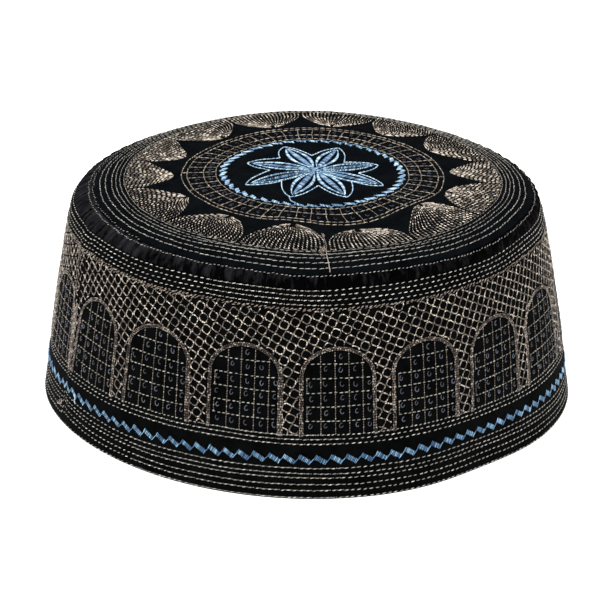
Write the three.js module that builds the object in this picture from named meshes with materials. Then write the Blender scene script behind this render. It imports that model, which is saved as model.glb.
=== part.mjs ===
import * as THREE from 'three';

// Prayer cap in millimetres, +Z up. The origin is the middle of the bottom edge.
// Turns are measured from the front (-Y), growing towards +X.

// Outline of the undented cap, read from the bottom edge up to the middle of the crown.
const baseRadius = 95;
const sideTaper = 8.1;
const shoulderWidth = 22;
const sideHeight = 71.6;
const shoulderRise = 13.2;
const crownRise = 2.5;
const sideBulge = 0.67;
const shoulderPower = 1.91;
const shoulderRadius = baseRadius - sideTaper;
const plateRadius = shoulderRadius - shoulderWidth;
const plateHeight = sideHeight + shoulderRise;
const capHeight = plateHeight + crownRise;

// Cloth thicknesses, the fold of the hem and the gap at every sewn joint.
const wallThickness = 2.2;
const edgeThickness = 1.5;
const crownThickness = 2;
const hemRound = 0.7;
const hemInset = 0.5;
const sewingGap = 0.3;

// The puckered edge: how far round the shoulder it starts, and its width along the outline.
const edgeSetback = 5.1;
const edgeWidth = 6;

// How the ring of cloth is out of round: shares of the radius for two and three waves a turn.
const baseOval = -0.0237;
const topOval = 0.0129;
const baseEgg = 0.024;

// The side leans a little, and the crown sits off the middle of the base.
const leanShare = -0.016;
const crownShiftX = 2;
const crownShiftY = -2.7;
const shiftFromAngle = THREE.MathUtils.degToRad(6);
const shiftToAngle = THREE.MathUtils.degToRad(32);

// Puckers of the edge, and the lap where the side panel's ends are sewn together.
const gatherCount = 84;
const gatherDepth = 0.32;
const lapTurn = THREE.MathUtils.degToRad(-66);
const lapDepth = 0.8;
const lapWidth = THREE.MathUtils.degToRad(13);
const lapDrop = THREE.MathUtils.degToRad(2);

// Soft unevenness of the side: waves a turn, start angle and depth as a share of the radius.
const sideWaves = [
  { waves: 5, start: 0.6, depth: 0.0034 },
  { waves: 9, start: 2.1, depth: 0.002 },
];

// Flattened places of the side: turn and turnSpread in degrees, height and heightSpread as shares
// of plateHeight, depth as a share of baseRadius.
const sideDents = [
  { name: 'right front flat', turn: 43, height: 0, depth: -0.025, turnSpread: 15, heightSpread: 0.3 },
];

// Dents and swellings of the crown: turn in degrees, radius and spread as shares of baseRadius,
// rise as a share of capHeight.
const dents = [
  { name: 'front hollow', turn: 18, radius: 0.53, rise: -0.014, spread: 0.14 },
  { name: 'right swelling', turn: 48, radius: 0.55, rise: 0.021, spread: 0.13 },
  { name: 'front swelling', turn: -9, radius: 0.5, rise: 0.008, spread: 0.09 },
  { name: 'front rim dip', turn: 0, radius: 0.83, rise: -0.009, spread: 0.14 },
  { name: 'right rim lift', turn: 65, radius: 0.9, rise: 0.012, spread: 0.16 },
  { name: 'back rim lift', turn: 180, radius: 0.8, rise: 0.013, spread: 0.42 },
  { name: 'left back hollow', turn: -128, radius: 0.5, rise: -0.009, spread: 0.17 },
];
const dentFromHeight = 0.62;

function sideRadius(height) {
  const share = height / sideHeight;
  return baseRadius + (shoulderRadius - baseRadius) * share + sideBulge * 4 * share * (1 - share);
}

function outlineCurve() {
  const sideSteps = 8;
  const shoulderSteps = 10;
  const crownSteps = 8;
  const points = [];
  for (let i = 0; i < sideSteps; i++) {
    const height = sideHeight * i / sideSteps;
    points.push(new THREE.Vector2(sideRadius(height), height));
  }
  for (let i = 0; i <= shoulderSteps; i++) {
    const angle = Math.PI / 2 * i / shoulderSteps;
    const across = Math.abs(Math.cos(angle)) ** (2 / shoulderPower);
    const up = Math.sin(angle) ** (2 / shoulderPower);
    points.push(new THREE.Vector2(
      plateRadius + (shoulderRadius - plateRadius) * across,
      sideHeight + (plateHeight - sideHeight) * up,
    ));
  }
  for (let i = 1; i <= crownSteps; i++) {
    const share = 1 - i / crownSteps;
    const height = plateHeight + (capHeight - plateHeight) * (1 - share * share);
    points.push(new THREE.Vector2(plateRadius * share, height));
  }
  return new THREE.SplineCurve(points);
}

const outline = outlineCurve();
const outlineLength = outline.getLength();
const edgeStart = Math.hypot(sideTaper, sideHeight) + edgeSetback;
const edgeEnd = edgeStart + edgeWidth;

// A point of the outline, moved inwards by the given depth.
function outlinePoint(length, depth) {
  const share = Math.min(length / outlineLength, 1);
  const point = outline.getPointAt(share);
  const tangent = outline.getTangentAt(share);
  return new THREE.Vector2(
    Math.max(point.x - tangent.y * depth, 0),
    point.y + tangent.x * depth,
  );
}

function outlineRun(from, to, depth, steps) {
  const points = [];
  for (let i = 0; i <= steps; i++) {
    points.push(outlinePoint(from + (to - from) * i / steps, depth));
  }
  return points;
}

// Angle round the shoulder: nothing on the side, a right angle where the crown plate starts.
function shoulderAngle(radius, height) {
  return Math.atan2(height - sideHeight, Math.max(radius - plateRadius, 0));
}

function crownShift(radius, height) {
  const angle = shoulderAngle(radius, height);
  return THREE.MathUtils.smoothstep(angle, shiftFromAngle, shiftToAngle);
}

function ringScale(turn, share) {
  const oval = baseOval * (1 - share) + topOval * share;
  return 1 + oval * Math.cos(2 * turn) + baseEgg * (1 - share) * Math.cos(3 * turn);
}

// The shorter way round from one turn to another.
function turnBetween(from, to) {
  return Math.atan2(Math.sin(to - from), Math.cos(to - from));
}

function lapRise(turn) {
  const past = turnBetween(lapTurn, turn);
  if (past < 0) {
    return lapDepth * Math.max(1 + past / lapDrop, 0);
  }
  return lapDepth * Math.exp(-((past / lapWidth) ** 2));
}

function sideSwell(turn, share) {
  let swell = 0;
  for (const row of sideWaves) {
    swell += row.depth * baseRadius * Math.sin(row.waves * turn + row.start);
  }
  swell *= 4 * share * (1 - share);
  for (const row of sideDents) {
    const across = turnBetween(THREE.MathUtils.degToRad(row.turn), turn);
    const acrossShare = across / THREE.MathUtils.degToRad(row.turnSpread);
    const upShare = (share - row.height) / row.heightSpread;
    swell += row.depth * baseRadius * Math.exp(-(acrossShare ** 2) - upShare ** 2);
  }
  return swell;
}

function dentRise(x, y, height) {
  const fade = THREE.MathUtils.smoothstep(height, dentFromHeight * capHeight, sideHeight);
  let rise = 0;
  for (const row of dents) {
    const turn = THREE.MathUtils.degToRad(row.turn);
    const away = Math.hypot(
      x - row.radius * baseRadius * Math.sin(turn),
      y + row.radius * baseRadius * Math.cos(turn),
    );
    rise += row.rise * capHeight * Math.exp(-((away / (row.spread * baseRadius)) ** 2));
  }
  return rise * fade;
}

// Takes a round, smooth point of the cap to its real place. A gather moves it in or out.
function settledPoint(radius, height, turn, gather) {
  const share = THREE.MathUtils.clamp(height / plateHeight, 0, 1);
  const angle = shoulderAngle(radius, height);
  const sideFade = 1 - THREE.MathUtils.smoothstep(angle, 0, shiftToAngle);
  const swell = (sideSwell(turn, share) + lapRise(turn) * Math.min(share * 8, 1)) * sideFade;
  const ring = (radius + swell + gather * Math.cos(angle)) * ringScale(turn, share);
  const shift = crownShift(radius, height);
  const x = ring * Math.sin(turn);
  const y = -ring * Math.cos(turn);
  return new THREE.Vector3(
    x + leanShare * Math.min(height, sideHeight) + crownShiftX * shift,
    y + crownShiftY * shift + baseRadius * baseEgg,
    height + gather * Math.sin(angle) + dentRise(x, y, height),
  );
}

function gatherAt(turn) {
  return gatherDepth * Math.sin(gatherCount * turn + 0.8 * Math.sin(5 * turn));
}

function noGather() {
  return 0;
}

// Spins a profile round the cap's axis, then settles every point of it.
function clothRing(profile, segments, gatherOf) {
  const geometry = new THREE.LatheGeometry(profile, segments);
  geometry.rotateX(Math.PI / 2);
  const position = geometry.attributes.position;
  for (let i = 0; i < position.count; i++) {
    const x = position.getX(i);
    const y = position.getY(i);
    const height = position.getZ(i);
    const turn = Math.atan2(x, -y);
    const settled = settledPoint(Math.hypot(x, y), height, turn, gatherOf(turn));
    position.setXYZ(i, settled.x, settled.y, settled.z);
  }
  geometry.computeVertexNormals();
  return geometry;
}

function sideWallProfile() {
  const wallEnd = edgeStart - sewingGap;
  const outer = outlineRun(hemRound, wallEnd, 0, 6);
  const inner = outlineRun(wallEnd, hemRound, wallThickness, 4);
  const sole = [
    new THREE.Vector2(baseRadius - wallThickness + hemInset, 0),
    new THREE.Vector2(baseRadius - hemInset, 0),
  ];
  return [...outer, ...inner, ...sole, outer[0].clone()];
}

function gatheredEdgeProfile() {
  const outer = outlineRun(edgeStart, edgeEnd, 0, 3);
  const inner = outlineRun(edgeEnd, edgeStart, edgeThickness, 1);
  return [...outer, ...inner, outer[0].clone()];
}

function crownTipProfile() {
  const crownStart = edgeEnd + sewingGap;
  const top = outlineRun(crownStart, outlineLength, 0, 9);
  const underside = outlineRun(outlineLength, crownStart, crownThickness, 6);
  return [...underside, ...top];
}

function clothMaterial(colour, roughness) {
  return new THREE.MeshStandardMaterial({ color: colour, roughness, metalness: 0 });
}

function namedMesh(name, geometry, material) {
  const mesh = new THREE.Mesh(geometry, material);
  mesh.name = name;
  return mesh;
}

function makeSideWall() {
  const geometry = clothRing(sideWallProfile(), 144, noGather);
  return namedMesh('side_wall', geometry, clothMaterial('#17171a', 0.9));
}

function makeGatheredEdge() {
  const geometry = clothRing(gatheredEdgeProfile(), gatherCount * 4, gatherAt);
  return namedMesh('gathered_edge', geometry, clothMaterial('#141418', 0.85));
}

function makeCrownTip() {
  const geometry = clothRing(crownTipProfile(), 96, noGather);
  return namedMesh('crown_tip', geometry, clothMaterial('#18181b', 0.9));
}

const cap = new THREE.Group();
cap.add(makeSideWall(), makeGatheredEdge(), makeCrownTip());

export default cap;
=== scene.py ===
from math import cos, hypot, pi, radians, sin, sqrt

import bmesh
import bpy
import numpy as np
from mathutils import Matrix, Vector


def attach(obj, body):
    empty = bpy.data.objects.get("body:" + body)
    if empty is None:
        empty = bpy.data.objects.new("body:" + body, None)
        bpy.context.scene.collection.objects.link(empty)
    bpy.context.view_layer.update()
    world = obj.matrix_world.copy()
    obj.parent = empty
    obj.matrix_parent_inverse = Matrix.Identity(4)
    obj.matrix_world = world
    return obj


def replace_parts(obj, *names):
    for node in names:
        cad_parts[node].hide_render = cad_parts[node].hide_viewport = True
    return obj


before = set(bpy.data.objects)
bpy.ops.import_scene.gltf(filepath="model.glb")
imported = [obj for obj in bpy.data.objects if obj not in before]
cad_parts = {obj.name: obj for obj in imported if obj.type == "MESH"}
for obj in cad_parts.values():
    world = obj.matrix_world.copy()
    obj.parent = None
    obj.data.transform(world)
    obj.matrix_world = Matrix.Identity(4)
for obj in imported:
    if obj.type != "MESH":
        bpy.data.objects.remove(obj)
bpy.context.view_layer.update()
print("frame loaded:", sorted(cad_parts))

mm = 0.001
rng = np.random.default_rng(11)

# The cap's form, as in its solids. Lengths in mm, angles in degrees, turns from the front (-Y) to +X
capForm = {
    "baseRadius": 95.0,
    "sideTaper": 8.1,
    "shoulderWidth": 22.0,
    "sideHeight": 71.6,
    "shoulderRise": 13.2,
    "crownRise": 2.5,
    "sideBulge": 0.67,
    "shoulderPower": 1.91,
    "wallThickness": 2.2,
    "edgeThickness": 1.5,
    "crownThickness": 2.0,
    "sewingGap": 0.3,
    "edgeSetback": 5.1,
    "edgeWidth": 6.0,
    "baseOval": -0.0237,
    "topOval": 0.0129,
    "baseEgg": 0.024,
    "leanShare": -0.016,
    "crownShift": (2.0, -2.7),
    "shiftAngles": (6, 32),
    "lapTurn": -66,
    "lapDepth": 0.8,
    "lapWidth": 13,
    "lapDrop": 2,
    "sideWaves": [(5, 0.6, 0.0034), (9, 2.1, 0.002)],
    "sideDents": [(43, 0, -0.025, 15, 0.3)],
    "dentFromHeight": 0.62,
}
# Dents: turn, then radius, rise and spread as shares of the base radius, cap height and base radius
capDents = [
    (18, 0.53, -0.014, 0.14),
    (48, 0.55, 0.021, 0.13),
    (-9, 0.5, 0.008, 0.09),
    (0, 0.83, -0.009, 0.14),
    (65, 0.9, 0.012, 0.16),
    (180, 0.8, 0.013, 0.42),
    (-128, 0.5, -0.009, 0.17),
]
shoulderRadius = capForm["baseRadius"] - capForm["sideTaper"]
plateRadius = shoulderRadius - capForm["shoulderWidth"]
plateHeight = capForm["sideHeight"] + capForm["shoulderRise"]
capHeight = plateHeight + capForm["crownRise"]

# Heights and radii at which the rows of running stitch lie, on the crown at the side and at the front
stitchRows = {
    "hem": [0.75, 3.25, 5.4, 7.9, 9.5, 11.5],
    "archFoot": [20.4, 22.15, 23.75],
    "sideTop": [70.7, 72.45, 74.1, 75.75],
    "crown": [(78.0, 78.0), (76.0, 75.5), (73.8, 73.2), (72.3, 71.3), (70.8, 70.9), (69.3, 69.3)],
    "seam": (81.5, 81.0),
    "secondSeam": 80.2,
}


def smooth(value, low, high):
    share = np.clip((value - low) / (high - low), 0, 1)
    return share * share * (3 - 2 * share)


# A turn in radians, taken the shorter way round
def shorterWay(turn):
    return (turn + pi) % (2 * pi) - pi


# The shorter way round, in radians, from some degrees to a turn
def turnPast(turn, degrees):
    return shorterWay(turn - np.radians(degrees))


# A soft hump: 1 in its middle, fading over a width
def hump(away, width, power=2):
    return np.exp(-((away / width) ** power))


# The outline as a fine run of points, from the hem up to the middle of the crown
def outlinePoints():
    f = capForm
    share = np.linspace(0, 1, 900)
    radius = f["baseRadius"] - f["sideTaper"] * share + f["sideBulge"] * 4 * share * (1 - share)
    height = f["sideHeight"] * share
    angle = np.linspace(0, pi / 2, 500)[1:]
    power = 2 / f["shoulderPower"]
    radius = np.append(radius, plateRadius + f["shoulderWidth"] * np.abs(np.cos(angle)) ** power)
    height = np.append(height, f["sideHeight"] + f["shoulderRise"] * np.sin(angle) ** power)
    share = np.linspace(1, 0, 600)[1:]
    radius = np.append(radius, plateRadius * share)
    height = np.append(height, plateHeight + f["crownRise"] * (1 - share * share))
    run = np.append(0, np.cumsum(np.hypot(np.diff(radius), np.diff(height))))
    return run, radius, height


outlineRun, outlineRadius, outlineHeight = outlinePoints()
edgeStart = hypot(capForm["sideTaper"], capForm["sideHeight"]) + capForm["edgeSetback"]
edgeEnd = edgeStart + capForm["edgeWidth"]
crownStart = edgeEnd + capForm["sewingGap"]
wallEnd = edgeStart - capForm["sewingGap"]
runEnd = float(outlineRun[-1])


def sideRun(height):
    return np.interp(height, outlineHeight, outlineRun)


def crownRun(radius):
    return np.interp(radius, outlineRadius[::-1], outlineRun[::-1])


rowRuns = np.sort(np.concatenate([
    sideRun(stitchRows["hem"] + stitchRows["archFoot"] + stitchRows["sideTop"]),
    crownRun([radii[0] for radii in stitchRows["crown"]]),
]))


# Where the side panel's ends meet, and how far the pattern steps there: degrees, mm and radians
seamForm = {
    "lowTurn": -70.3, "highTurn": -61.0, "lowRise": 1.75, "highRise": 0.8, "width": 0.2, "leftRise": 0.4,
    "leftWidth": 0.5, "levelRun": 22.0, "levelSpan": 4.5, "gap": 0.9,
    # The fold keys place the painted shade that darkens the lattice in the fold left of the seam
    "foldTurn": -0.055, "foldWidth": 0.042, "foldShade": 0.24,
}
# Soft straying of every row: waves a turn, phase, phase for a mm of run, and depth in mm
strayWaves = [(3, 0.0, 0.06, 0.16), (7, 1.7, 0.11, 0.12), (16, 0.0, 0.3, 0.07)]


# The way round from the side seam, which leans, to a turn
def seamPast(turn, run):
    share = np.clip(run / wallEnd, 0, 1)
    return turnPast(turn, seamForm["lowTurn"] + (seamForm["highTurn"] - seamForm["lowTurn"]) * share)


# How far a row has strayed along the outline, with the step at the side seam
def wander(turn, run):
    soft = sum(deep * np.sin(waves * turn + phase + run * slope) for waves, phase, slope, deep in strayWaves)
    soft = soft * smooth(run, 0.5, 6) * (1 - smooth(run, runEnd - 40, runEnd - 20))
    share = np.clip(run / wallEnd, 0, 1)
    past = seamPast(turn, run)
    rise = seamForm["lowRise"] + (seamForm["highRise"] - seamForm["lowRise"]) * share
    leftStep = seamForm["leftRise"] * np.exp(past / seamForm["leftWidth"])
    step = np.where(past < 0, leftStep, rise * hump(past, seamForm["width"]))
    step = step * (1 - hump(run - seamForm["levelRun"], seamForm["levelSpan"]))
    return soft + step * smooth(run, 0.5, 2.5) * (1 - smooth(run, wallEnd - 3, wallEnd + 1))


# Relief of the cloth: stitched rows pull it in, the edge puckers, and the rest is softly uneven, in mm
reliefForm = {
    "rowDepth": 0.2, "rowWidth": 0.45, "ripples": 31, "rippleDepth": 0.07, "gathers": 84, "gatherDepth": 0.32,
    "edgeSwell": 0.3, "edgeShare": 0.42, "creases": 57, "creaseDepth": 0.55, "creaseWidth": 0.25,
}


def clothRelief(turn, run):
    f = reliefForm
    near = np.clip(np.searchsorted(rowRuns, run), 1, len(rowRuns) - 1)
    away = np.minimum(np.abs(run - rowRuns[near - 1]), np.abs(run - rowRuns[near]))
    relief = -f["rowDepth"] * hump(away, f["rowWidth"])
    ripple = np.sin(f["ripples"] * turn + run * 0.5) * np.sin(run * 0.23 + 4 * turn)
    relief = relief + f["rippleDepth"] * ripple
    middle = (edgeStart + edgeEnd) / 2
    inEdge = hump(run - middle, capForm["edgeWidth"] * f["edgeShare"], 4)
    gather = np.sin(f["gathers"] * turn + 0.8 * np.sin(5 * turn) + 0.25 * (run - middle))
    crease = np.abs(np.sin(f["creases"] * turn + 1.3 * np.sin(11 * turn) - 0.4 * (run - middle)))
    fold = f["creaseDepth"] * hump(crease, f["creaseWidth"])
    relief = relief + inEdge * (f["gatherDepth"] * gather + f["edgeSwell"] - fold)
    return relief * smooth(run, 0, 1.5)


def lapRise(turn):
    past = turnPast(turn, capForm["lapTurn"])
    drop = np.maximum(1 + past / radians(capForm["lapDrop"]), 0)
    return capForm["lapDepth"] * np.where(past < 0, drop, hump(past, radians(capForm["lapWidth"])))


def dentRise(x, y, height):
    rise = np.zeros_like(x)
    for turn, radius, high, spread in capDents:
        centre = radius * capForm["baseRadius"]
        away = np.hypot(x - centre * sin(radians(turn)), y + centre * cos(radians(turn)))
        rise = rise + high * capHeight * hump(away, spread * capForm["baseRadius"])
    return rise * smooth(height, capForm["dentFromHeight"] * capHeight, capForm["sideHeight"])


def shoulderAngle(radius, height):
    return np.arctan2(height - capForm["sideHeight"], np.maximum(radius - plateRadius, 0))


# The place, in mm, of a spot at a turn and a run along the outline, lifted off the cloth
def capSpot(turn, run, lift=0.0, relief=True):
    f = capForm
    turn, run, lift = np.broadcast_arrays(*(np.asarray(v, float) for v in (turn, run, lift)))
    if relief:
        lift = lift + clothRelief(turn, run)
        run = run + wander(turn, run)
    radius = np.interp(run, outlineRun, outlineRadius)
    height = np.interp(run, outlineRun, outlineHeight) + np.minimum(run, 0)
    lean = np.maximum(shoulderAngle(radius, height), 0)
    radius = np.maximum(radius + lift * np.cos(lean), 0)
    height = height + lift * np.sin(lean)
    share = np.clip(height / plateHeight, 0, 1)
    shiftLow, shiftHigh = np.radians(f["shiftAngles"])
    angle = shoulderAngle(radius, height)
    swell = sum(d * f["baseRadius"] * np.sin(n * turn + s) for n, s, d in f["sideWaves"])
    swell = swell * 4 * share * (1 - share) + lapRise(turn) * np.minimum(share * 8, 1)
    for middle, high, depth, turnSpread, heightSpread in f["sideDents"]:
        across = turnPast(turn, middle) / radians(turnSpread)
        away = across ** 2 + ((share - high) / heightSpread) ** 2
        swell = swell + depth * f["baseRadius"] * np.exp(-away)
    oval = f["baseOval"] * (1 - share) + f["topOval"] * share
    scale = 1 + oval * np.cos(2 * turn) + f["baseEgg"] * (1 - share) * np.cos(3 * turn)
    ring = (radius + swell * (1 - smooth(angle, 0, shiftHigh))) * scale
    shift = smooth(angle, shiftLow, shiftHigh)
    x, y = ring * np.sin(turn), -ring * np.cos(turn)
    return np.stack([
        x + f["leanShare"] * np.minimum(height, f["sideHeight"]) + f["crownShift"][0] * shift,
        y + f["crownShift"][1] * shift + f["baseRadius"] * f["baseEgg"],
        height + dentRise(x, y, height),
    ], -1)


def unit(vectors):
    return vectors / np.maximum(np.linalg.norm(vectors, axis=-1, keepdims=True), 1e-9)


# Directions out and across, square to the way along
def squared(out, along):
    out = unit(out - along * np.sum(out * along, -1, keepdims=True))
    return out, np.cross(out, along)


def capNormal(turn, run):
    east = capSpot(turn + 0.004, run, 0, False) - capSpot(turn - 0.004, run, 0, False)
    up = capSpot(turn, run + 0.2, 0, False) - capSpot(turn, run - 0.2, 0, False)
    return unit(np.cross(east, up))


# Crown patterns are drawn on flat x and y in mm, with the front at -y
def flatSpot(x, y):
    return np.arctan2(x, -y), crownRun(np.hypot(x, y))


print("outline ready, run", round(runEnd, 1), "mm")


# Materials
class Num:
    def __init__(self, surface, socket):
        self.surface, self.socket = surface, socket

    def mathWith(self, operation, *others):
        inputs = dict(enumerate((self, *others)))
        node = self.surface.node("ShaderNodeMath", {"operation": operation}, inputs)
        return Num(self.surface, node.outputs[0])

    def __add__(self, other):
        return self.mathWith("ADD", other)

    def __sub__(self, other):
        return self.mathWith("SUBTRACT", other)

    def __rsub__(self, other):
        return self.mathWith("MULTIPLY", -1).mathWith("ADD", other)

    def __mul__(self, other):
        return self.mathWith("MULTIPLY", other)

    __radd__ = __add__
    __rmul__ = __mul__

    def sine(self):
        return self.mathWith("SINE")

    def clamped(self):
        node = self.surface.node("ShaderNodeClamp", {}, {"Value": self})
        return Num(self.surface, node.outputs[0])


class Surface:
    def __init__(self, name, **constants):
        self.material = bpy.data.materials.new(name)
        self.material.use_nodes = True
        self.tree = self.material.node_tree
        self.shader = self.tree.nodes["Principled BSDF"]
        for socket, value in constants.items():
            self.shader.inputs[socket.replace("_", " ")].default_value = value

    def node(self, kind, settings, inputs):
        made = self.tree.nodes.new(kind)
        for key, value in settings.items():
            if key == "stops":
                ramp = made.color_ramp
                while len(ramp.elements) < len(value):
                    ramp.elements.new(0.5)
                for element, (place, colour) in zip(ramp.elements, value):
                    element.position, element.color = place, (*colour, 1)
            else:
                setattr(made, key, value)
        for key, value in inputs.items():
            if isinstance(value, Num):
                self.tree.links.new(value.socket, made.inputs[key])
            elif isinstance(value, bpy.types.NodeSocket):
                self.tree.links.new(value, made.inputs[key])
            else:
                made.inputs[key].default_value = value
        return made

    def coordinates(self):
        return self.node("ShaderNodeTexCoord", {}, {}).outputs["Object"]

    def axes(self):
        split = self.node("ShaderNodeSeparateXYZ", {}, {0: self.coordinates()})
        return [Num(self, split.outputs[i]) for i in range(3)]

    def noise(self, scale, detail=2.0, rough=0.5, vector=None):
        vector = vector or self.coordinates()
        inputs = {"Vector": vector, "Scale": scale, "Detail": detail, "Roughness": rough}
        return Num(self, self.node("ShaderNodeTexNoise", {}, inputs).outputs["Fac"])

    def attribute(self, name):
        node = self.node("ShaderNodeAttribute", {"attribute_name": name}, {})
        return Num(self, node.outputs["Fac"])

    def ramp(self, factor, stops):
        return self.node("ShaderNodeValToRGB", {"stops": stops}, {"Fac": factor}).outputs["Color"]

    def bump(self, height, strength, distance):
        inputs = {"Height": height, "Strength": strength, "Distance": distance}
        return self.node("ShaderNodeBump", {}, inputs).outputs["Normal"]

    def link(self, source, socket):
        self.tree.links.new(source.socket if isinstance(source, Num) else source, self.shader.inputs[socket])


# A colour given in everyday 0 to 255 values
def paint(*channels):
    return tuple(((c / 255 + 0.055) / 1.055) ** 2.4 if c > 10 else c / 255 / 12.92 for c in channels)


# Gathered cloth is blackest at its foot and lighter towards the left. Heights in metres
gatherForm = {"foot": 0.0765, "fade": 0.0035, "leftward": 12.0, "even": 0.1}
weaveForm = {"threadsRound": 900, "pitch": 0.00062}


# Black cotton: a fine plain weave, slightly uneven in tone
def clothSurface(name, dark, light, weave):
    surface = Surface(name, Specular_IOR_Level=0.02)
    x, y, z = surface.axes()
    threads = 2 * pi / weaveForm["pitch"]
    if weave == "flat":
        warp, weft = (x * threads).sine(), (y * threads).sine()
    else:
        turn = x.mathWith("ARCTAN2", y)
        warp, weft = (turn * weaveForm["threadsRound"]).sine(), (z * threads).sine()
    mottle = surface.noise(140, 4, 0.6)
    fuzz = surface.noise(1500, 3, 0.6)
    tone = mottle * 0.55 + fuzz * 0.35 + warp * weft * 0.08
    relief, depth = warp * weft * 0.4 + fuzz, 0.00018
    if weave == "gathered":
        along = surface.node("ShaderNodeCombineXYZ", {}, {0: turn * 46, 1: z * 160, 2: z * 40}).outputs[0]
        foldReliefAndShade = surface.noise(1.0, 3, 0.55, along)
        foot = ((z - gatherForm["foot"]) * (1 / gatherForm["fade"])).clamped()
        left = (x * -gatherForm["leftward"] + gatherForm["even"]).clamped()
        # Painted highlight on the folds and painted shade in the creases, following the same noise as their
        # bump; the band is also darker at its foot and lighter towards the left
        tone = tone * 0.3 + foldReliefAndShade * 0.8 - 0.3 + foot * 0.07 + left * 0.16
        relief, depth = relief * 0.1 + foldReliefAndShade * 3, 0.0008
    surface.link(surface.ramp(tone, [(0.3, dark), (0.72, light)]), "Base Color")
    surface.link((0.98 - mottle * 0.12).clamped(), "Roughness")
    surface.link(surface.bump(relief, 0.35, depth), "Normal")
    return surface.material


# Embroidery thread: glossy twisted filament, each stitch with its own shade, which also holds painted shade
# at its ends and underside, and for the blue blocks a painted highlight at their ends
def threadSurface(name, stops, gloss):
    surface = Surface(name, Specular_IOR_Level=gloss)
    shade = surface.attribute("threadShade")
    grain = surface.noise(900, 3, 0.6)
    ply = (surface.attribute("threadTwist") * (2 * pi)).sine()
    tone = shade * 0.72 + grain * 0.3 + ply * 0.05 - 0.02
    surface.link(surface.ramp(tone, stops), "Base Color")
    surface.link((0.3 + grain * 0.26).clamped(), "Roughness")
    surface.link(surface.bump(ply * 0.5 + grain * 0.6, 0.25, 0.00012), "Normal")
    return surface.material


# Threads: gloss, the colours of a dark, a middling and a light stitch, and the tone of the light one
threadForm = {
    "taupeThread": (0.5, (33, 28, 24), (106, 95, 84), (226, 214, 197), 0.92),
    "brownThread": (0.45, (26, 21, 18), (98, 86, 77), (206, 193, 180), 0.92),
    "paleThread": (0.5, (48, 46, 42), (130, 126, 118), (232, 229, 221), 0.92),
    "blueThread": (0.4, (16, 32, 52), (66, 108, 146), (170, 210, 232), 0.9),
    "lightBlueThread": (0.45, (34, 56, 82), (92, 128, 158), (196, 220, 232), 0.9),
    "darkThread": (0.6, (18, 21, 27), (32, 38, 48), (78, 88, 102), 0.9),
}
materials = {
    "sideCloth": clothSurface("sideCloth", paint(0, 0, 0), paint(7, 8, 9), "round"),
    # The edge cloth's lighter colour is the painted highlight on its folds
    "edgeCloth": clothSurface("edgeCloth", paint(0, 0, 0), paint(37, 37, 41), "gathered"),
    "crownCloth": clothSurface("crownCloth", paint(0, 1, 2), paint(10, 13, 16), "flat"),
}
for threadName, (gloss, dark, middling, light, lightTone) in threadForm.items():
    stops = [(0.1, paint(*dark)), (0.5, paint(*middling)), (lightTone, paint(*light))]
    materials[threadName] = threadSurface(threadName, stops, gloss)
print("materials ready:", len(materials))


def addObject(name, data):
    made = bpy.data.objects.new(name, data)
    bpy.context.scene.collection.objects.link(made)
    return made


def meshPiece(name, materialName, mesh):
    for polygon in mesh.polygons:
        polygon.use_smooth = True
    mesh.materials.append(materials[materialName])
    piece = addObject(name, mesh)
    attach(piece, "root")
    return piece


# Cloth pieces are spun as a plain tube, then every point goes to its place on the cap
def clothPiece(name, materialName, node, profile, segments):
    spun = bmesh.new()
    tube = 100.0
    chain = [spun.verts.new((0, -(tube + lift), run)) for run, lift in profile]
    edges = [spun.edges.new(pair) for pair in zip(chain, chain[1:])]
    bmesh.ops.spin(
        spun, geom=chain + edges, cent=(0, 0, 0), axis=(0, 0, 1), dvec=(0, 0, 0),
        angle=2 * pi, steps=segments, use_merge=True, use_normal_flip=False, use_duplicate=False,
    )
    mesh = bpy.data.meshes.new(name)
    spun.to_mesh(mesh)
    spun.free()
    flat = np.zeros(len(mesh.vertices) * 3, np.float32)
    mesh.vertices.foreach_get("co", flat)
    x, y, run = flat.reshape(-1, 3).astype(float).T
    turn, lift = np.arctan2(x, -y), np.hypot(x, y) - tube
    outside = (lift > -0.3)[:, None]
    placed = np.where(outside, capSpot(turn, run, lift), capSpot(turn, run, lift, False))
    placed[:, 2] = np.maximum(placed[:, 2], 0)
    mesh.vertices.foreach_set("co", (placed * mm).astype(np.float32).ravel())
    closed = bmesh.new()
    closed.from_mesh(mesh)
    bmesh.ops.remove_doubles(closed, verts=closed.verts, dist=1e-6)
    bmesh.ops.recalc_face_normals(closed, faces=closed.faces)
    closed.to_mesh(mesh)
    closed.free()
    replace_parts(meshPiece(name, materialName, mesh), node)


# One face of a cloth's profile, as runs with their depth
def clothFace(start, end, step, depth=0.0):
    return [(run, depth) for run in np.linspace(start, end, max(int(round(abs(end - start) / step)), 1) + 1)]


# Side wall: outer face up, inner face down, then the folded hem, whose points are run and depth
wallForm = {
    "outerStep": 0.66, "innerStep": 9.0, "segments": 360,
    "hemRound": 0.7, "hemPoints": [(0.25, 0.2), (0.0, 0.6)],
}
wallDepth = -capForm["wallThickness"]
wallProfile = clothFace(wallForm["hemRound"], wallEnd, wallForm["outerStep"])
wallProfile += clothFace(wallEnd, wallForm["hemRound"], wallForm["innerStep"], wallDepth)
wallProfile += [(run, wallDepth + depth) for run, depth in wallForm["hemPoints"]]
wallProfile += [(run, -depth) for run, depth in reversed(wallForm["hemPoints"])]
wallProfile += [(wallForm["hemRound"], 0.0)]
clothPiece("sideWallCloth", "sideCloth", "side_wall", wallProfile, wallForm["segments"])

edgeForm = {"outerStep": 0.32, "innerStep": 2.0, "segments": 840}
edgeProfile = clothFace(edgeStart, edgeEnd, edgeForm["outerStep"])
edgeProfile += clothFace(edgeEnd, edgeStart, edgeForm["innerStep"], -capForm["edgeThickness"])
edgeProfile += [(edgeStart, 0.0)]
clothPiece("gatheredEdgeCloth", "edgeCloth", "gathered_edge", edgeProfile, edgeForm["segments"])

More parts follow.
